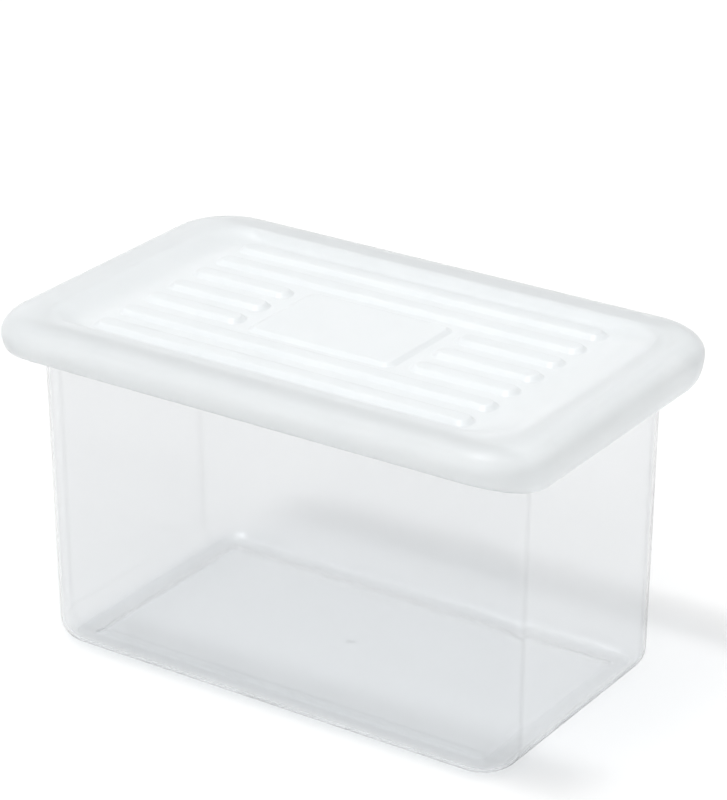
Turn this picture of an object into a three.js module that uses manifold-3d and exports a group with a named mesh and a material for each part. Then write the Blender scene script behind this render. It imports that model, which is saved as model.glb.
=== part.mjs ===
// Clear plastic storage box: a thin-walled moulded tub and a push-on lid with a ribbed top.
// Millimetres, +Z up. The origin is on the ground, under the middle of the tub.
import * as THREE from 'three';
import Module from 'manifold-3d';

const wasm = await Module();
wasm.setup();

// Tub: outside sizes of its foot, and the walls that lean out above it
const TUB_LENGTH = 350;
const TUB_WIDTH = 202;
const TUB_HEIGHT = 230;
const TUB_CORNER = 27; // plan radius of the upright corners, at the foot
const TUB_DRAFT = 0.8; // degrees that each wall leans out
const TUB_WALL = 1.8;
const TUB_FLOOR = 2;

// Tub foot: the flat ring that the box stands on, round a floor that is stepped up
const FOOT_ROUND = 16; // between the walls and the ground
const FOOT_WIDTH = 7;
const FLOOR_STEP = 2.5;
const GATE_DIAMETER = 14; // shallow round well where the plastic was let into the mould
const GATE_DEPTH = 0.6;

// Tub rim: an outward flange with a turned-down lip
const FLANGE_WIDTH = 7.4;
const FLANGE_THICKNESS = 2;
const FLANGE_LIP = 8;
const FLANGE_ROUND = 1.5;

// Lid shell: a crown over the tub's flange, a rim that swells below it, and a field sunk inside it
const LID_WALL = 1.6;
const LID_CORNER = 40; // plan radius of the lid's corners, at the rim's widest line
const RIM_BULGE = 14; // from the crown's edge out to the rim's widest line
const RIM_WAIST = 10.5; // from the tub's top down to the rim's widest line
const RIM_DEPTH = 21; // from the tub's top down to the rim's foot
const RIM_TUCK = 7; // how far the rim's foot draws in again
const RIM_END_DROP = 8; // how much deeper the rim hangs at the ends, as a grip
const FIELD_DROP = 6; // from the crown down to the field
const BANK_SIDE = 10; // width of the bank between the crown and the field, along the sides
const BANK_END = 30; // and at the ends
const LOCATOR_DEPTH = 8; // wall under the crown that centres the lid in the tub's mouth
const LOCATOR_WALL = 1.4;

// Clearances between the lid and the tub
const SEAT_GAP = 0.3;
const LIP_GAP = 0.6;
const LOCATOR_GAP = 0.6;

// Raised forms on the lid's field: lengthwise ribs, and a plain pad that interrupts some of them
const RIB_COUNT = 7;
const RIB_WIDTH = 17;
const RIB_HEIGHT = 3;
const RIB_SIDE_MARGIN = 4; // bare field beside the outermost ribs
const RIB_END_MARGIN = 4; // bare field beyond the ends of the ribs
const PAD_LENGTH = 110;
const PAD_WIDTH = 76;
const PAD_CORNER = 8;
const PAD_HEIGHT = 2.2;
const PAD_MOAT = 8; // bare field round the pad
const RAISED_LEAN = 1.8; // how far the raised sides slope in
const RAISED_ROUND = 1.5;

// Facets of the round corners and profile arcs, coarser on the raised forms
const CORNER_STEPS = 8;
const ARC_STEPS = 4;
const BANK_STEPS = 6;
const RAISED_CORNER_STEPS = 4;
const RAISED_ARC_STEPS = 2;
const LEAST_CORNER = 2.5; // plan radius that an inset ring keeps where it is wide enough

// Values that follow from the sizes above
const draft = Math.tan(THREE.MathUtils.degToRad(TUB_DRAFT));
const mouth = wallLean(TUB_HEIGHT);
const lidFoot = mouth + FLANGE_WIDTH + LIP_GAP;
const widest = lidFoot + RIM_BULGE;
const locatorOut = mouth - TUB_WALL - LOCATOR_GAP;
const locatorIn = locatorOut - LOCATOR_WALL;
const crownUnder = TUB_HEIGHT + SEAT_GAP;
const crown = crownUnder + LID_WALL;
const fieldTop = crown - FIELD_DROP;
const fieldUnder = fieldTop - LID_WALL;
const tubPlan = { length: TUB_LENGTH, width: TUB_WIDTH, steps: CORNER_STEPS, corner: outset(TUB_CORNER) };
const lidPlan = { ...tubPlan, corner: lidCorner };
const OVERCUT = 1; // how far a cutter reaches past the face that it opens

// How far the outside of a wall has leaned out at a height
function wallLean(height) {
  return draft * (height - FOOT_ROUND);
}

// Plan radius of a corner at an offset from the plan outline
function outset(corner) {
  return (offset) => Math.max(corner + offset, Math.min(corner, LEAST_CORNER));
}

// The lid follows the tub's corners as far as its mouth, and is squarer further out
function lidCorner(offset) {
  const atMouth = TUB_CORNER + mouth;
  const beyond = (offset - mouth) / (widest - mouth);
  return offset < mouth ? outset(TUB_CORNER)(offset) : atMouth + (LID_CORNER - atMouth) * beyond;
}

// Points of a profile are [offset from the plan outline, height, end inset, end drop]: the last two
// say how much further in and how much lower the ends are than the sides. Angles are in degrees.
function arc([offset, height], [acrossRadius, upRadius], from, to, steps = ARC_STEPS) {
  return Array.from({ length: steps + 1 }, (_, step) => {
    const angle = THREE.MathUtils.degToRad(from + ((to - from) * step) / steps);
    return [offset + acrossRadius * Math.cos(angle), height + upRadius * Math.sin(angle)];
  });
}

// The bank from the crown in to the field, level at both edges, on one face of the lid
function bank(top) {
  return Array.from({ length: BANK_STEPS + 1 }, (_, step) => {
    const share = step / BANK_STEPS;
    const height = top - (FIELD_DROP * (1 - Math.cos(Math.PI * share))) / 2;
    return [locatorIn - BANK_SIDE * share, height, (BANK_END - BANK_SIDE) * share];
  });
}

// One ring of a rounded rectangle, counter-clockwise from above, level but for a drop at the ends
function ring({ length, width, steps, corner }, [offset, height, endInset = 0, endDrop = 0]) {
  const reachX = length / 2 + offset - endInset;
  const reachY = width / 2 + offset;
  const radius = Math.min(corner(offset), reachX, reachY);
  const points = [];
  for (let quarter = 0; quarter < 4; quarter += 1) {
    const sideX = quarter === 0 || quarter === 3 ? 1 : -1;
    const sideY = quarter < 2 ? 1 : -1;
    const centreX = sideX * (reachX - radius);
    const centreY = sideY * (reachY - radius);
    for (let step = 0; step <= steps; step += 1) {
      const angle = ((quarter + step / steps) * Math.PI) / 2;
      points.push([
        centreX + radius * Math.cos(angle),
        centreY + radius * Math.sin(angle),
        height - endDrop * Math.cos(angle) ** 2,
      ]);
    }
  }
  return points;
}

// A closed solid: rings of one plan, lofted along a profile, with a flat cap at both ends
function loft(plan, profile) {
  const path = profile.filter((point, i) => i === 0 || Math.hypot(
    point[0] - profile[i - 1][0], point[1] - profile[i - 1][1]) > 1e-6);
  const rings = path.map((point) => ring(plan, point));
  const around = rings[0].length;
  const bottom = rings.length * around;
  const triangles = [];
  for (let i = 0; i < around; i += 1) {
    const next = (i + 1) % around;
    for (let level = 0; level < rings.length - 1; level += 1) {
      const low = level * around;
      const high = low + around;
      triangles.push(low + i, low + next, high + next, low + i, high + next, high + i);
    }
    const last = bottom - around;
    triangles.push(bottom, next, i, bottom + 1, last + i, last + next);
  }
  const centres = [[0, 0, path[0][1]], [0, 0, path.at(-1)[1]]];
  const geometry = new THREE.BufferGeometry();
  geometry.setAttribute('position', new THREE.Float32BufferAttribute([...rings, centres].flat(2), 3));
  geometry.setIndex(new THREE.Uint32BufferAttribute(triangles, 1));
  return geometry;
}

function solid(geometry) {
  const vertProperties = geometry.attributes.position.array;
  const triVerts = geometry.index.array;
  return new wasm.Manifold(new wasm.Mesh({ numProp: 3, vertProperties, triVerts }));
}

function piece(name, body, material) {
  const { vertProperties, triVerts } = body.getMesh();
  const geometry = new THREE.BufferGeometry();
  geometry.setAttribute('position', new THREE.BufferAttribute(vertProperties, 3));
  geometry.setIndex(new THREE.BufferAttribute(triVerts, 1));
  geometry.computeVertexNormals();
  const mesh = new THREE.Mesh(geometry, material);
  mesh.name = name;
  return mesh;
}

// Tub: from under the floor, round the foot, up the wall, over the flange and down inside
function tubProfile() {
  const ringInside = -(FOOT_ROUND + FOOT_WIDTH);
  const flangeUnder = TUB_HEIGHT - FLANGE_THICKNESS;
  const flangeEdge = mouth + FLANGE_WIDTH;
  const lipInside = flangeEdge - FLANGE_THICKNESS;
  const lipFoot = TUB_HEIGHT - FLANGE_LIP;
  return [
    [ringInside - FLOOR_STEP, FLOOR_STEP],
    [ringInside, 0],
    ...arc([-FOOT_ROUND, FOOT_ROUND], [FOOT_ROUND, FOOT_ROUND], -90, 0),
    [wallLean(flangeUnder), flangeUnder],
    [lipInside, flangeUnder],
    [lipInside, lipFoot],
    [flangeEdge, lipFoot],
    ...arc([flangeEdge - FLANGE_ROUND, TUB_HEIGHT - FLANGE_ROUND], [FLANGE_ROUND, FLANGE_ROUND], 0, 90),
    [mouth - TUB_WALL, TUB_HEIGHT],
    ...arc([-FOOT_ROUND, FOOT_ROUND], [FOOT_ROUND - TUB_WALL, FOOT_ROUND - TUB_FLOOR], 0, -90),
    [ringInside, TUB_FLOOR],
    [ringInside - FLOOR_STEP, TUB_FLOOR + FLOOR_STEP],
  ];
}

function gateWell() {
  const plan = {
    length: GATE_DIAMETER, width: GATE_DIAMETER, steps: RAISED_CORNER_STEPS, corner: outset(GATE_DIAMETER / 2),
  };
  return loft(plan, [[0, FLOOR_STEP - OVERCUT], [0, FLOOR_STEP + GATE_DEPTH]]);
}

function makeTub() {
  const plastic = new THREE.MeshStandardMaterial({
    color: 0xdfe6ee, roughness: 0.12, metalness: 0, transparent: true, opacity: 0.35,
  });
  return piece('tub', solid(loft(tubPlan, tubProfile())).subtract(solid(gateWell())), plastic);
}

// Lid: from under the field, up the bank, round the locating wall, out over the flange, down inside
// the rim, and back up over its outside
function lidProfile() {
  const waist = TUB_HEIGHT - RIM_WAIST;
  const tuckHeight = RIM_DEPTH - RIM_WAIST;
  const upper = [lidFoot, waist];
  const tuck = (wall, from, to) => {
    const deep = tuckHeight - wall;
    return arc([widest - RIM_TUCK, waist], [RIM_TUCK - wall, deep], from, to).map(
      ([offset, height]) => [offset, height, 0, (RIM_END_DROP * (waist - height)) / deep]);
  };
  const locatorFoot = crownUnder - LOCATOR_DEPTH;
  return [
    ...bank(crownUnder).reverse(),
    [locatorIn, locatorFoot],
    [locatorOut, locatorFoot],
    [locatorOut, crownUnder],
    ...arc(upper, [RIM_BULGE - LID_WALL, crownUnder - waist], 90, 0),
    ...tuck(LID_WALL, 0, -90),
    ...tuck(0, -90, 0),
    ...arc(upper, [RIM_BULGE, crown - waist], 0, 90),
    ...bank(crown),
  ];
}

// A raised form, or the hollow under it: the hollow's inset is the lid's own wall
function raisedProfile(height, inset, base) {
  const crest = fieldTop + height - inset - RAISED_ROUND;
  const shoulder = -inset - RAISED_LEAN - RAISED_ROUND;
  const round = arc([shoulder, crest], [RAISED_ROUND, RAISED_ROUND], 0, 90, RAISED_ARC_STEPS);
  return [[-inset, base], ...round];
}

// Plans of the raised forms, each with its centre and its height
function ribs() {
  const fieldLength = TUB_LENGTH + 2 * (locatorIn - BANK_END);
  const fieldWidth = TUB_WIDTH + 2 * (locatorIn - BANK_SIDE);
  const reach = fieldLength / 2 - RIB_END_MARGIN;
  const pitch = (fieldWidth - 2 * RIB_SIDE_MARGIN - RIB_WIDTH) / (RIB_COUNT - 1);
  const rib = (from, to, y) => ({
    length: to - from, width: RIB_WIDTH, steps: RAISED_CORNER_STEPS, corner: outset(RIB_WIDTH / 2),
    x: (from + to) / 2, y, height: RIB_HEIGHT,
  });
  const padEnd = PAD_LENGTH / 2 + PAD_MOAT;
  return Array.from({ length: RIB_COUNT }, (_, i) => (i - (RIB_COUNT - 1) / 2) * pitch).flatMap((y) => {
    const crossesPad = Math.abs(y) < (PAD_WIDTH + RIB_WIDTH) / 2;
    return crossesPad ? [rib(-reach, -padEnd, y), rib(padEnd, reach, y)] : [rib(-reach, reach, y)];
  });
}

function makeLid() {
  const plastic = new THREE.MeshStandardMaterial({
    color: 0xeff4f5, roughness: 0.35, metalness: 0, transparent: true, opacity: 0.8,
  });
  const pad = {
    length: PAD_LENGTH, width: PAD_WIDTH, steps: RAISED_CORNER_STEPS, corner: outset(PAD_CORNER),
    x: 0, y: 0, height: PAD_HEIGHT,
  };
  const lid = [...ribs(), pad].reduce((body, plan) => {
    const place = (profile) => solid(loft(plan, profile).translate(plan.x, plan.y, 0));
    const outside = place(raisedProfile(plan.height, 0, fieldUnder + LID_WALL / 2));
    const hollow = place(raisedProfile(plan.height, LID_WALL, fieldUnder - OVERCUT));
    return body.add(outside).subtract(hollow);
  }, solid(loft(lidPlan, lidProfile())));
  return piece('lid', lid, plastic);
}

const box = new THREE.Group();
box.add(makeTub(), makeLid());

export default box;
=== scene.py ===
"""Clear moulded storage box with a milky ribbed lid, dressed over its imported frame. Metres, +Z up."""
import math

import bmesh
import bpy
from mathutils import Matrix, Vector
from mathutils.geometry import delaunay_2d_cdt


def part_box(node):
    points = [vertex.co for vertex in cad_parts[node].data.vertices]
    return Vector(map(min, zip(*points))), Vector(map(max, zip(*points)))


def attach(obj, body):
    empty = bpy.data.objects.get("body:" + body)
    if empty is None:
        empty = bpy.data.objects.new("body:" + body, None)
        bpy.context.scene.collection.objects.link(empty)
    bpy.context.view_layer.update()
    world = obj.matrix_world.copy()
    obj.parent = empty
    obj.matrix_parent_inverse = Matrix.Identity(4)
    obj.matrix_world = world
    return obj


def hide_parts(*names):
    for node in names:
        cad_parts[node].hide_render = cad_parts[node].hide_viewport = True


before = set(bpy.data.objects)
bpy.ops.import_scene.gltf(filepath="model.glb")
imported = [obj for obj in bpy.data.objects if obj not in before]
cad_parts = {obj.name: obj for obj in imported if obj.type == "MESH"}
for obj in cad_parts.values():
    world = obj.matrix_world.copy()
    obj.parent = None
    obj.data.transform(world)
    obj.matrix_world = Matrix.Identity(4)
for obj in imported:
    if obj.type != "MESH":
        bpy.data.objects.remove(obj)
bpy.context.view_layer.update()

MM = 0.001
_, TUB_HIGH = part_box("tub")
LID_LOW, LID_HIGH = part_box("lid")

# Tub: its wall, foot and turned-down flange
TUB_CORNER = 27 * MM
TUB_DRAFT = math.radians(0.8)
TUB_WALL = 1.8 * MM
TUB_FLOOR = 2 * MM
FOOT_ROUND = 16 * MM
FOOT_WIDTH = 7 * MM
FLOOR_STEP = 2.5 * MM
FLOOR_STEP_RUN = 6 * MM
FLOOR_STEP_ROUND = 8 * MM
FLOOR_MARGIN = 12 * MM
FLANGE_WIDTH = 7.4 * MM
FLANGE_THICKNESS = 2 * MM
FLANGE_LIP = 8 * MM
FLANGE_ROUND = 1.5 * MM
GATE_RADIUS = 7 * MM
GATE_DEPTH = 0.3 * MM
GATE_SLOPE = 6 * MM  # from the gate mark's edge in to its level middle
MOULD_ROUND = 0.7 * MM  # small rounds on edges that the mould leaves soft

# Lid: its crown over the flange, its swelling rim, and its sunk field
LID_WALL = 1.6 * MM
LID_CORNER = 40 * MM
RIM_BULGE = 14 * MM
RIM_WAIST = 10.5 * MM
RIM_DEPTH = 21 * MM
RIM_TUCK = 7 * MM
FIELD_DROP = 6 * MM
BANK_SIDE = 10 * MM
BANK_END = 30 * MM
LOCATOR_DEPTH = 8 * MM
LOCATOR_WALL = 1.4 * MM
LOCATOR_ROUND = LOCATOR_WALL / 2.1
LOCATOR_GAP = 0.6 * MM
SEAT_GAP = 0.3 * MM

# Raised forms on the lid's field
RIB_COUNT = 7
RIB_WIDTH = 17 * MM
RIB_HEIGHT = 3 * MM
RIB_SIDE_MARGIN = 4 * MM
RIB_END_MARGIN = 4 * MM
PAD_LENGTH = 110 * MM
PAD_WIDTH = 76 * MM
PAD_CORNER = 8 * MM
PAD_HEIGHT = 2.2 * MM
PAD_MOAT = 8 * MM
RAISED_LEAN = 3.5 * MM
RAISED_ROUND = 3 * MM
RAISED_FOOT_ROUND = 2 * MM
RAISED_SKIRT = 2 * MM  # from a raised form's foot to where its round ends on the field
CREST_FLAT = 2.4 * MM  # level band inside a raised form's rounded edge

# Fineness of the meshes
CORNER_STEPS = 20
RAISED_CORNER_STEPS = 10
QUARTER_STEPS = 9
SUPPORT = 1.2 * MM  # from a round to the loop that keeps the flat beside it flat
LEAST_CORNER = 2.5 * MM  # plan radius that an inset ring keeps
MERGE = 0.001 * MM

# Camera at the photo's angle, as it frames the box
PHOTO_HEIGHT = 800  # pixels, the longer side of a picture 727 wide
FOCAL_PIXELS = 3276
CAMERA_AZIMUTH = math.radians(33.97)
CAMERA_ELEVATION = math.radians(23.87)
CAMERA_DISTANCE = 2100 * MM
AIM_HEIGHT = 110 * MM
AIM_RIGHT = 8.28 * MM
AIM_UP = 62.38 * MM
SENSOR = 36  # millimetres, on the photo's long side

# Clear plastic
CLEAR_WALL = (0.903, 0.91, 0.916, 1)
# Painted shade: the tub's floor and foot are coloured greyer than its walls, darker towards the bottom
CLEAR_FLOOR_SHADED = (0.879, 0.887, 0.894, 1)
FLOOR_SHADE_TOP = 6 * MM
WALL_SHADE_FOOT = 24 * MM
# Painted shade: a darker line down each corner, where the end wall's flat turns into the curve
PAINTED_CORNER_SHADE = (0.845, 0.852, 0.86, 1)  # where an end wall's flat turns into its corner
CORNER_SHADE_CORE = 1 * MM
CORNER_SHADE_EDGE = 4 * MM
POLISH = 0.04
HAZE = {"Scale": 45.0, "Detail": 4.0}
HAZE_ROUGHNESS = 0.08
SCUFF_TOP = 3 * MM
SCUFF_ROUGHNESS = 0.3
RIPPLE = {"Scale": 16.0, "Detail": 1.0}
RIPPLE_STRENGTH = 0.2
RIPPLE_DEPTH = 1.5 * MM
CLEARNESS = 0.97
CLEAR_LIT_THROUGH = (0.96, 0.966, 0.97, 1)

# Milky plastic
MILK_DENSE = (0.743, 0.769, 0.781, 1)
MILK_THIN = (0.782, 0.803, 0.811, 1)
CLOUD = {"Scale": 30.0, "Detail": 5.0}
SATIN = 0.28
CLOUD_ROUGHNESS = 0.14
GRAIN = {"Scale": 900.0, "Detail": 2.0}
GRAIN_STRENGTH = 0.15
GRAIN_DEPTH = 0.1 * MM
MILK_SPREAD = 0.7
MILK_REACH = 4 * MM
MILK_CLEARNESS = 0.3
FIELD_LIT_THROUGH = (0.975, 0.976, 0.98, 1)
RIM_LIT_THROUGH = (0.33, 0.34, 0.35, 1)  # the long rims stand on edge to the lamp and shade most

PLASTIC_IOR = 1.49

# Studio light: a large lamp nearly overhead, and a pale room that is brighter in front of the box
STAGE_COLOUR = (0.96, 0.96, 0.96, 1)
STAGE_REACH = 8
OVERHEAD = 1.3
OVERHEAD_DIRECTION = (0.15, 0.2, -1)
OVERHEAD_SOFTNESS = math.radians(13)
SKY = 0.46  # light from all round, and what is added in front
FRONT = 0.68
FRONT_LIGHT = (0.15, -0.85, 0.45)

# Values that follow from the frame and the sizes above
TUB_TOP = TUB_HIGH[2]
MOUTH = math.tan(TUB_DRAFT) * (TUB_TOP - FOOT_ROUND)
HALF_LENGTH = TUB_HIGH[0] - MOUTH - FLANGE_WIDTH
HALF_WIDTH = TUB_HIGH[1] - MOUTH - FLANGE_WIDTH
CROWN = LID_HIGH[2]
CROWN_UNDER = TUB_TOP + SEAT_GAP
FIELD_TOP = CROWN - FIELD_DROP
FIELD_UNDER = FIELD_TOP - LID_WALL
WIDEST = LID_HIGH[0] - HALF_LENGTH
LID_FOOT = WIDEST - RIM_BULGE
RIM_WAIST_HEIGHT = TUB_TOP - RIM_WAIST
RIM_FOOT = TUB_TOP - RIM_DEPTH
RIM_END_DROP = RIM_FOOT - LID_LOW[2]
LOCATOR_OUT = MOUTH - TUB_WALL - LOCATOR_GAP
LOCATOR_IN = LOCATOR_OUT - LOCATOR_WALL
RIB_REACH = HALF_LENGTH + LOCATOR_IN - BANK_END - RIB_END_MARGIN
RIB_PITCH = (2 * (HALF_WIDTH + LOCATOR_IN - BANK_SIDE - RIB_SIDE_MARGIN) - RIB_WIDTH) / (RIB_COUNT - 1)
PAD_END = PAD_LENGTH / 2 + PAD_MOAT
PAD_ROWS = (PAD_WIDTH + RIB_WIDTH) / 2  # ribs nearer the middle than this stop at the pad


class Value:
    """An output socket. Arithmetic on it adds Math nodes to its tree."""

    def __init__(self, tree, socket):
        self.tree = tree
        self.socket = socket

    def math(self, operation, *terms):
        return self.tree.node("ShaderNodeMath", {"operation": operation}, dict(enumerate(terms)))

    def __add__(self, other):
        return self.math("ADD", self, other)

    def __radd__(self, other):
        return self.math("ADD", other, self)

    def __sub__(self, other):
        return self.math("SUBTRACT", self, other)

    def __rsub__(self, other):
        return self.math("SUBTRACT", other, self)

    def __mul__(self, other):
        return self.math("MULTIPLY", self, other)

    def __rmul__(self, other):
        return self.math("MULTIPLY", other, self)

    def __truediv__(self, other):
        return self.math("DIVIDE", self, other)

    def __lt__(self, other):
        return self.math("LESS_THAN", self, other)

    def __gt__(self, other):
        return self.math("GREATER_THAN", self, other)

    def __abs__(self):
        return self.math("ABSOLUTE", self)

    def most(self, other):
        return self.math("MAXIMUM", self, other)


class Tree:
    """A node tree, with one method that adds any node."""

    def __init__(self, tree):
        self.tree = tree

    @staticmethod
    def find(sockets, key):
        if isinstance(key, int):
            return sockets[key]
        return next(s for s in sockets if s.enabled and key in (s.name, s.identifier))

    def node(self, kind, settings=None, sockets=None, out=0):
        node = self.tree.nodes.new(kind)
        for name, setting in (settings or {}).items():
            setattr(node, name, setting)
        for key, given in (sockets or {}).items():
            target = self.find(node.inputs, key)
            if isinstance(given, Value):
                self.tree.links.new(given.socket, target)
            else:
                target.default_value = given
        return Value(self, self.find(node.outputs, out)) if node.outputs else None


# Outlines and profiles

def rounded(corners):
    """Profile through corners (offset, height, radius), with an arc at each corner that has a radius."""
    points = []
    for i, (offset, height, radius) in enumerate(corners):
        corner = Vector((offset, height))
        if radius == 0:
            points.append(corner)
            continue
        before = (Vector(corners[i - 1][:2]) - corner).normalized()
        after = (Vector(corners[i + 1][:2]) - corner).normalized()
        half = before.angle(after) / 2
        centre = corner + (before + after).normalized() * (radius / math.sin(half))
        reach = radius / math.tan(half)
        start, end = corner + before * reach - centre, corner + after * reach - centre
        turn = start.angle_signed(end)
        steps = max(2, math.ceil(abs(turn) / (math.pi / 2) * QUARTER_STEPS))
        points.append(corner + before * (reach + SUPPORT))
        for step in range(steps + 1):
            angle = -turn * step / steps
            across = math.cos(angle) * start.x - math.sin(angle) * start.y
            up = math.sin(angle) * start.x + math.cos(angle) * start.y
            points.append(centre + Vector((across, up)))
        points.append(corner + after * (reach + SUPPORT))
    return points


def quarter(centre, across, up, start):
    """A quarter of an ellipse in a profile, turning upwards from a start angle in degrees."""
    angles = [math.radians(start + 90 * step / QUARTER_STEPS) for step in range(QUARTER_STEPS + 1)]
    return [Vector((centre[0] + across * math.cos(a), centre[1] + up * math.sin(a))) for a in angles]


def outset(corner):
    """How the plan radius of a corner follows the offset from the plan outline."""
    return lambda offset: corner + offset


def lid_corner(offset):
    """The lid follows the tub's corners as far as its mouth, and is squarer further out."""
    at_mouth = TUB_CORNER + MOUTH
    beyond = max(offset - MOUTH, 0) / (WIDEST - MOUTH)
    return TUB_CORNER + min(offset, MOUTH) + (LID_CORNER - at_mouth) * beyond


def ring(plan, offset, height, end_inset=0, end_drop=0):
    """A ring round a rounded rectangle, counter-clockwise from above, level but for a drop at the ends."""
    half_length, half_width, corner, steps = plan
    reach_x, reach_y = half_length + offset - end_inset, half_width + offset
    radius = max(corner(offset), min(LEAST_CORNER, reach_x, reach_y))
    runs = (reach_y - radius, reach_x - radius)
    points = []
    for turn, (side_x, side_y) in enumerate(((1, 1), (-1, 1), (-1, -1), (1, -1))):
        centre = Vector((side_x * (reach_x - radius), side_y * (reach_y - radius), height))
        angles = [(turn + step / steps) * math.pi / 2 for step in range(steps + 1)]
        outward = [Vector((math.cos(a), math.sin(a), 0)) for a in angles]
        arc = [centre + Vector((radius * d.x, radius * d.y, -end_drop * d.x ** 2)) for d in outward]
        if runs[turn % 2] > SUPPORT:
            arc.insert(0, arc[0] - outward[-1] * SUPPORT)
        if runs[1 - turn % 2] > SUPPORT:
            arc.append(arc[-1] - outward[0] * SUPPORT)
        points += arc
    return points


def loft(mesh, plan, profile):
    """Smooth bands of faces from ring to ring along a profile. Returns the first and last ring."""
    path = [p for i, p in enumerate(profile) if i == 0 or math.dist(p[:2], profile[i - 1][:2]) > MERGE]
    rings = [[mesh.verts.new(p) for p in ring(plan, *point)] for point in path]
    around = len(rings[0])
    for low, high in zip(rings, rings[1:]):
        for i in range(around):
            j = (i + 1) % around
            mesh.faces.new((low[i], low[j], high[j], high[i])).smooth = True
    return rings[0], rings[-1]


def plate(mesh, loops, faces_up):
    """A flat plate inside the first loop of vertices, with the other, convex loops as holes."""
    verts = [v for loop in loops for v in loop]
    on_loop = [number for number, loop in enumerate(loops) for _ in loop]
    edges = []
    for loop in loops:
        first = len(edges)
        edges += [(first + i, first + (i + 1) % len(loop)) for i in range(len(loop))]
    flat = [v.co.xy for v in verts]
    inside = 1
    _, _, faces, origins, _, _ = delaunay_2d_cdt(flat, edges, [], inside, MERGE)
    for face in faces:
        corners = [origins[i][0] for i in face]
        touched = {on_loop[i] for i in corners}
        if len(touched) > 1 or touched == {0}:
            mesh.faces.new([verts[i] for i in (corners if faces_up else corners[::-1])])


def finished(mesh, name, material):
    """An object at the origin from a mesh in the making, with touching edges joined."""
    bmesh.ops.remove_doubles(mesh, verts=mesh.verts, dist=MERGE)
    data = bpy.data.meshes.new(name)
    mesh.to_mesh(data)
    mesh.free()
    data.materials.append(material)
    piece = bpy.data.objects.new(name, data)
    bpy.context.collection.objects.link(piece)
    return piece


# Tub

def tub_profile():
    """From under the floor, round the foot, up the wall, over the flange and down inside."""
    ring_inside = -(FOOT_ROUND + FOOT_WIDTH)
    floor_edge = ring_inside - FLOOR_STEP_RUN
    lean = math.tan(TUB_DRAFT)
    foot = -lean * FOOT_ROUND
    flange_under = TUB_TOP - FLANGE_THICKNESS
    flange_edge = MOUTH + FLANGE_WIDTH
    lip_inside = flange_edge - FLANGE_THICKNESS
    lip_foot = TUB_TOP - FLANGE_LIP
    inner_foot = foot - TUB_WALL + lean * TUB_FLOOR
    return rounded([
        (floor_edge - FLOOR_MARGIN, FLOOR_STEP, 0),
        (floor_edge, FLOOR_STEP, FLOOR_STEP_ROUND),
        (ring_inside, 0, FLOOR_STEP_ROUND),
        (foot, 0, FOOT_ROUND),
        (foot + lean * flange_under, flange_under, MOULD_ROUND),
        (lip_inside, flange_under, MOULD_ROUND),
        (lip_inside, lip_foot, MOULD_ROUND),
        (flange_edge, lip_foot, MOULD_ROUND),
        (flange_edge, TUB_TOP, FLANGE_ROUND),
        (MOUTH - TUB_WALL, TUB_TOP, MOULD_ROUND),
        (inner_foot, TUB_FLOOR, FOOT_ROUND - TUB_WALL),
        (ring_inside, TUB_FLOOR, FLOOR_STEP_ROUND),
        (floor_edge, TUB_FLOOR + FLOOR_STEP, FLOOR_STEP_ROUND),
        (floor_edge - FLOOR_MARGIN, TUB_FLOOR + FLOOR_STEP, 0),
    ])


def gate_mark(mesh):
    """The shallow round well under the floor where the plastic was let in."""
    plan = (GATE_RADIUS, GATE_RADIUS, outset(GATE_RADIUS), RAISED_CORNER_STEPS)
    shares = [step / QUARTER_STEPS for step in range(QUARTER_STEPS + 1)]
    profile = [(GATE_SLOPE * (s - 1), FLOOR_STEP + GATE_DEPTH * (1 + math.cos(math.pi * s)) / 2)
               for s in shares]
    well, edge = loft(mesh, plan, profile)
    mesh.faces.new(well[::-1])
    return edge


def make_tub(material):
    mesh = bmesh.new()
    plan = (HALF_LENGTH, HALF_WIDTH, outset(TUB_CORNER), CORNER_STEPS)
    under, inside = loft(mesh, plan, tub_profile())
    plate(mesh, [under, gate_mark(mesh)], faces_up=False)
    plate(mesh, [inside], faces_up=True)
    return finished(mesh, "clear_tub", material)


# Lid

def lid_shell_profile():
    """From under the field, up the bank, round the locating wall, out over the flange and round the rim."""
    locator_foot = CROWN_UNDER - LOCATOR_DEPTH
    upper = (LID_FOOT, RIM_WAIST_HEIGHT)
    locator = rounded([
        (LOCATOR_IN, CROWN_UNDER, 0),
        (LOCATOR_IN, locator_foot, LOCATOR_ROUND),
        (LOCATOR_OUT, locator_foot, LOCATOR_ROUND),
        (LOCATOR_OUT, CROWN_UNDER, MOULD_ROUND),
        (LID_FOOT, CROWN_UNDER, 0),
    ])
    return [
        *bank(CROWN_UNDER)[::-1],
        *locator,
        *quarter(upper, RIM_BULGE - LID_WALL, CROWN_UNDER - RIM_WAIST_HEIGHT, 0)[::-1],
        *tuck(LID_WALL)[::-1],
        *tuck(0),
        *quarter(upper, RIM_BULGE, CROWN - RIM_WAIST_HEIGHT, 0),
        *bank(CROWN),
    ]


def tuck(wall):
    """The rim's lower round, from its foot up to its widest line, deeper at the ends."""
    deep = RIM_WAIST_HEIGHT - RIM_FOOT - wall
    lower = quarter((WIDEST - RIM_TUCK, RIM_WAIST_HEIGHT), RIM_TUCK - wall, deep, -90)
    return [(p.x, p.y, 0, RIM_END_DROP * (RIM_WAIST_HEIGHT - p.y) / deep) for p in lower]


def bank(top):
    """The slope from the crown in to the field, level at both edges and wider at the ends."""
    steps = 2 * QUARTER_STEPS
    shares = [step / steps for step in range(steps + 1)]
    return [(LOCATOR_IN - BANK_SIDE * s, top - FIELD_DROP * (1 - math.cos(math.pi * s)) / 2,
             (BANK_END - BANK_SIDE) * s) for s in shares]


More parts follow.
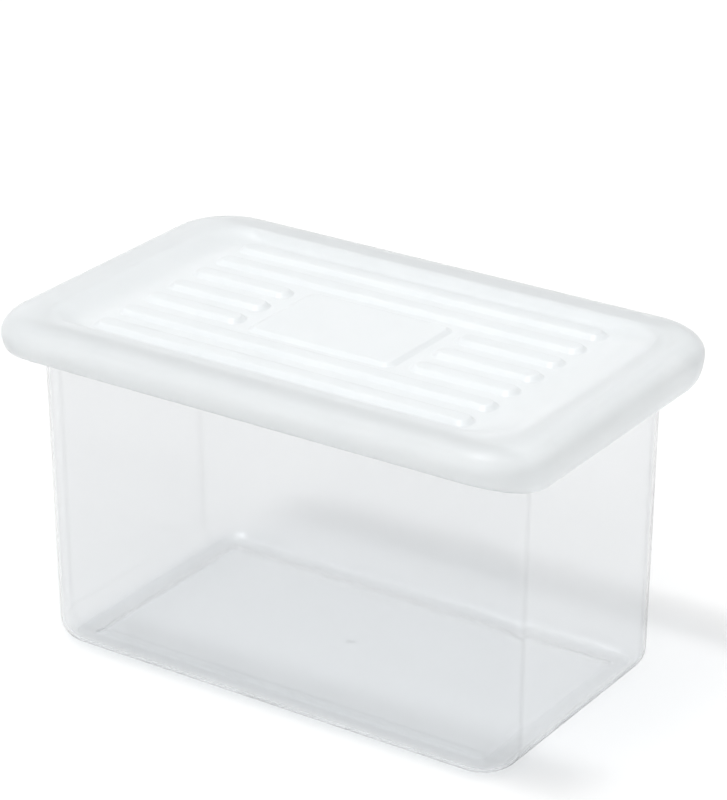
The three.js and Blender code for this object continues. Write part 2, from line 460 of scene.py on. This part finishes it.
def raised_form(mesh, plan, height):
    """A raised form with its hollow, both open where they meet the lid's field."""
    crest = FIELD_TOP + height
    shoulder = -RAISED_LEAN
    _, top = loft(mesh, plan, rounded([
        (RAISED_SKIRT, FIELD_TOP, 0),
        (0, FIELD_TOP, RAISED_FOOT_ROUND),
        (shoulder, crest, RAISED_ROUND),
        (shoulder - CREST_FLAT, crest, 0),
    ]))
    mesh.faces.new(top)
    ceiling, _ = loft(mesh, plan, rounded([
        (shoulder - LID_WALL - CREST_FLAT, crest - LID_WALL, 0),
        (shoulder - LID_WALL, crest - LID_WALL, MOULD_ROUND),
        (-LID_WALL, FIELD_UNDER, MOULD_ROUND),
        (RAISED_SKIRT - LID_WALL, FIELD_UNDER, 0),
    ]))
    mesh.faces.new(ceiling[::-1])


def rib_rows():
    """The tree that repeats one rib in rows and columns, without rows too near the middle or too far out."""
    group = bpy.data.node_groups.new("rib_rows", "GeometryNodeTree")
    sockets = {
        "Rib": "NodeSocketGeometry", "Rows": "NodeSocketInt", "Row pitch": "NodeSocketFloat",
        "Columns": "NodeSocketInt", "Column spacing": "NodeSocketFloat", "Nearest row": "NodeSocketFloat",
        "Farthest row": "NodeSocketFloat", "Plastic": "NodeSocketMaterial",
    }
    for name, kind in sockets.items():
        group.interface.new_socket(name, in_out="INPUT", socket_type=kind)
    group.interface.new_socket("Ribs", in_out="OUTPUT", socket_type="NodeSocketGeometry")
    tree = Tree(group)
    entry = group.nodes.new("NodeGroupInput")
    given = {name: Value(tree, entry.outputs[name]) for name in sockets}

    def line(count, spacing, axis):
        start = (1 - given[count]) * given[spacing] / 2
        step = tree.node("ShaderNodeCombineXYZ", None, {axis: given[spacing]})
        first = tree.node("ShaderNodeCombineXYZ", None, {axis: start})
        return tree.node("GeometryNodeMeshLine", {"mode": "OFFSET"},
                         {"Count": given[count], "Start Location": first, "Offset": step})

    places = tree.node("GeometryNodeInstanceOnPoints", None, {
        "Points": line("Columns", "Column spacing", "X"), "Instance": line("Rows", "Row pitch", "Y")})
    places = tree.node("GeometryNodeRealizeInstances", None, {"Geometry": places})
    position = tree.node("GeometryNodeInputPosition")
    across = abs(tree.node("ShaderNodeSeparateXYZ", None, {"Vector": position}, "Y"))
    left_out = (across < given["Nearest row"]) + (across > given["Farthest row"])
    kept = tree.node("GeometryNodeDeleteGeometry", None, {"Geometry": places, "Selection": left_out})
    ribs = tree.node("GeometryNodeInstanceOnPoints", None, {"Points": kept, "Instance": given["Rib"]})
    ribs = tree.node("GeometryNodeRealizeInstances", None, {"Geometry": ribs})
    ribs = tree.node("GeometryNodeSetMaterial", None, {"Geometry": ribs, "Material": given["Plastic"]})
    tree.node("NodeGroupOutput", None, {"Ribs": ribs})
    return group


def repeated(mesh, tree, settings):
    """The plain mesh that a tree makes of one raised form."""
    data = bpy.data.meshes.new("one_rib")
    mesh.to_mesh(data)
    mesh.free()
    carrier = bpy.data.objects.new("one_rib", data)
    bpy.context.collection.objects.link(carrier)
    rows = carrier.modifiers.new("rows", "NODES")
    rows.node_group = tree
    for item in tree.interface.items_tree:
        if item.in_out == "INPUT" and item.name in settings:
            rows[item.identifier] = settings[item.name]
    depsgraph = bpy.context.evaluated_depsgraph_get()
    made = bpy.data.meshes.new_from_object(carrier.evaluated_get(depsgraph))
    carrier.modifiers.remove(rows)
    bpy.data.objects.remove(carrier)
    return made


def ribs(length, columns, nearest, farthest, tree, material):
    """Every rib of one length."""
    mesh = bmesh.new()
    raised_form(mesh, (length / 2, RIB_WIDTH / 2, outset(RIB_WIDTH / 2), RAISED_CORNER_STEPS), RIB_HEIGHT)
    return repeated(mesh, tree, {
        "Rows": RIB_COUNT, "Row pitch": RIB_PITCH, "Columns": columns, "Column spacing": RIB_REACH + PAD_END,
        "Nearest row": nearest, "Farthest row": farthest, "Plastic": material,
    })


def open_loops(mesh, height):
    """Loops of vertices along the open edges at a height."""
    level = [e for e in mesh.edges if e.is_boundary and all(abs(v.co.z - height) < MERGE for v in e.verts)]
    beside = {}
    for edge in level:
        for vert in edge.verts:
            beside.setdefault(vert, []).append(edge.other_vert(vert))
    loops = []
    while beside:
        loop = [next(iter(beside))]
        while loop:
            onward = [v for v in beside.pop(loop[-1]) if v in beside]
            if not onward:
                break
            loop.append(onward[0])
        loops.append(loop)
    return sorted(loops, key=lambda loop: -max(v.co.x for v in loop))


def make_lid(material):
    tree = rib_rows()
    mesh = bmesh.new()
    loft(mesh, (HALF_LENGTH, HALF_WIDTH, lid_corner, CORNER_STEPS), lid_shell_profile())
    raised_form(mesh, (PAD_LENGTH / 2, PAD_WIDTH / 2, outset(PAD_CORNER), RAISED_CORNER_STEPS), PAD_HEIGHT)
    mesh.from_mesh(ribs(2 * RIB_REACH, 1, PAD_ROWS, HALF_WIDTH, tree, material))
    mesh.from_mesh(ribs(RIB_REACH - PAD_END, 2, -1, PAD_ROWS, tree, material))
    plate(mesh, open_loops(mesh, FIELD_TOP), faces_up=True)
    plate(mesh, open_loops(mesh, FIELD_UNDER), faces_up=False)
    return finished(mesh, "milky_lid", material)


# Finishes

def material_tree(name):
    material = bpy.data.materials.new(name)
    material.use_nodes = True
    material.node_tree.nodes.clear()
    return material, Tree(material.node_tree)


def along(tree, place, axis):
    """One coordinate of a place."""
    return tree.node("ShaderNodeSeparateXYZ", None, {"Vector": place}, axis)


def noise(tree, place, kind):
    return tree.node("ShaderNodeTexNoise", None, {"Vector": place, **kind})


def smooth_step(tree, value, none, full):
    """From 0 at one value to 1 at another."""
    return tree.node("ShaderNodeMapRange", {"interpolation_type": "SMOOTHSTEP"}, {
        "Value": value, "From Min": none, "From Max": full})


def blend(tree, factor, first, second):
    sockets = {"Factor": factor, "A": first, "B": second}
    return tree.node("ShaderNodeMix", {"data_type": "RGBA"}, sockets, "Result")


def see_through(tree, colour):
    return tree.node("ShaderNodeBsdfTransparent", None, {"Color": colour})


def mixed(tree, factor, first, second):
    return tree.node("ShaderNodeMixShader", None, {0: factor, 1: first, 2: second})


def clear_plastic():
    """Clear, faintly cool plastic: polished, a little uneven, scuffed below, with painted shade that greys it
    towards the floor and a painted dark line where each end wall's flat meets its corner.
    """
    material, tree = material_tree("clear_plastic")
    place = tree.node("ShaderNodeTexCoord", out="Object")
    height = along(tree, place, "Z")
    ripple = noise(tree, place, RIPPLE)
    haze = noise(tree, place, HAZE)
    # painted shade, greying the plastic from the walls down into the floor
    floor_shade = smooth_step(tree, height, WALL_SHADE_FOOT, FLOOR_SHADE_TOP)
    past_x = abs(along(tree, place, "X")) - HALF_LENGTH + TUB_CORNER
    past_y = abs(along(tree, place, "Y")) - HALF_WIDTH + TUB_CORNER
    # painted shade, a dark line down the corners where the end walls' flats meet their curves
    corner = (past_x > 0.0) * smooth_step(tree, abs(past_y), CORNER_SHADE_EDGE, CORNER_SHADE_CORE)
    colour = blend(tree, corner, blend(tree, floor_shade, CLEAR_WALL, CLEAR_FLOOR_SHADED), PAINTED_CORNER_SHADE)
    scuffed = (1 - height / SCUFF_TOP).most(0.0)
    roughness = POLISH + haze * HAZE_ROUGHNESS + scuffed * SCUFF_ROUGHNESS
    normal = tree.node("ShaderNodeBump", None, {
        "Height": ripple, "Strength": RIPPLE_STRENGTH, "Distance": RIPPLE_DEPTH})
    plastic = tree.node("ShaderNodeBsdfPrincipled", None, {
        "Base Color": colour, "Roughness": roughness, "IOR": PLASTIC_IOR,
        "Transmission Weight": CLEARNESS, "Normal": normal})
    lit_through = see_through(tree, CLEAR_LIT_THROUGH)
    spread = tree.node("ShaderNodeLightPath", out="Is Diffuse Ray")
    shadow = tree.node("ShaderNodeLightPath", out="Is Shadow Ray")
    shown = mixed(tree, shadow, mixed(tree, spread, plastic, lit_through), lit_through)
    tree.node("ShaderNodeOutputMaterial", None, {"Surface": shown})
    return material


def milky_plastic():
    """Milky satin plastic that lets some light through, less at its long rims."""
    material, tree = material_tree("milky_plastic")
    place = tree.node("ShaderNodeTexCoord", out="Object")
    cloud = noise(tree, place, CLOUD)
    grain = noise(tree, place, GRAIN)
    normal = tree.node("ShaderNodeBump", None, {
        "Height": grain, "Strength": GRAIN_STRENGTH, "Distance": GRAIN_DEPTH})
    plastic = tree.node("ShaderNodeBsdfPrincipled", None, {
        "Base Color": blend(tree, cloud, MILK_DENSE, MILK_THIN), "Roughness": SATIN + cloud * CLOUD_ROUGHNESS,
        "IOR": PLASTIC_IOR, "Subsurface Weight": MILK_SPREAD, "Subsurface Radius": (1.0, 1.0, 1.0),
        "Subsurface Scale": MILK_REACH, "Normal": normal})
    milky = mixed(tree, MILK_CLEARNESS, plastic, see_through(tree, (1, 1, 1, 1)))
    in_rim = abs(along(tree, place, "Y")) > HALF_WIDTH + MOUTH
    lit_field, lit_rim = see_through(tree, FIELD_LIT_THROUGH), see_through(tree, RIM_LIT_THROUGH)
    lit_through = mixed(tree, in_rim, lit_field, lit_rim)
    shadow = tree.node("ShaderNodeLightPath", out="Is Shadow Ray")
    tree.node("ShaderNodeOutputMaterial", None, {"Surface": mixed(tree, shadow, milky, lit_through)})
    return material


# Stage

def make_floor():
    material, tree = material_tree("pale_floor")
    pale = tree.node("ShaderNodeBsdfDiffuse", None, {"Color": STAGE_COLOUR})
    tree.node("ShaderNodeOutputMaterial", None, {"Surface": pale})
    corners = [(x * STAGE_REACH, y * STAGE_REACH, 0) for x, y in ((-1, -1), (1, -1), (1, 1), (-1, 1))]
    data = bpy.data.meshes.new("floor")
    data.from_pydata(corners, [], [(0, 1, 2, 3)])
    data.materials.append(material)
    floor = bpy.data.objects.new("floor", data)
    bpy.context.collection.objects.link(floor)


def make_overhead_light():
    lamp = bpy.data.lights.new("overhead_light", "SUN")
    lamp.energy = OVERHEAD
    lamp.angle = OVERHEAD_SOFTNESS
    holder = bpy.data.objects.new("overhead_light", lamp)
    holder.rotation_mode = "QUATERNION"
    holder.rotation_quaternion = Vector(OVERHEAD_DIRECTION).to_track_quat("-Z", "Y")
    bpy.context.collection.objects.link(holder)


def make_world():
    world = bpy.data.worlds.new("studio")
    world.use_nodes = True
    world.node_tree.nodes.clear()
    tree = Tree(world.node_tree)
    direction = tree.node("ShaderNodeTexCoord", out="Generated")
    front = tree.node("ShaderNodeVectorMath", {"operation": "DOT_PRODUCT"},
                      {0: direction, 1: FRONT_LIGHT}, "Value").most(0.0)
    camera = tree.node("ShaderNodeLightPath", out="Is Camera Ray")
    gloss = tree.node("ShaderNodeLightPath", out="Is Glossy Ray")
    through = tree.node("ShaderNodeLightPath", out="Is Transmission Ray")
    unscattered = tree.node("ShaderNodeLightPath", out="Diffuse Depth") < 0.5
    white = camera.most(gloss.most(through) * unscattered)
    light = tree.node("ShaderNodeBackground", None, {
        "Color": (1, 1, 1, 1), "Strength": white + (1 - white) * (SKY + FRONT * front)})
    tree.node("ShaderNodeOutputWorld", None, {"Surface": light})
    bpy.context.scene.world = world


def make_camera():
    back = Vector((math.sin(CAMERA_AZIMUTH) * math.cos(CAMERA_ELEVATION),
                   -math.cos(CAMERA_AZIMUTH) * math.cos(CAMERA_ELEVATION), math.sin(CAMERA_ELEVATION)))
    right = Vector((math.cos(CAMERA_AZIMUTH), math.sin(CAMERA_AZIMUTH), 0))
    aim = Vector((0, 0, AIM_HEIGHT)) + right * AIM_RIGHT + back.cross(right) * AIM_UP
    data = bpy.data.cameras.new("camera")
    data.sensor_width = SENSOR
    data.lens = FOCAL_PIXELS * SENSOR / PHOTO_HEIGHT
    camera = bpy.data.objects.new("camera", data)
    camera.location = aim + back * CAMERA_DISTANCE
    camera.rotation_mode = "QUATERNION"
    camera.rotation_quaternion = (-back).to_track_quat("-Z", "Y")
    bpy.context.collection.objects.link(camera)
    bpy.context.scene.camera = camera


make_camera()
make_world()
make_floor()
make_overhead_light()
bpy.context.scene.view_settings.view_transform = "Standard"

tub = make_tub(clear_plastic())
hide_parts("tub")
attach(tub, "tub")

lid = make_lid(milky_plastic())
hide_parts("lid")
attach(lid, "lid")
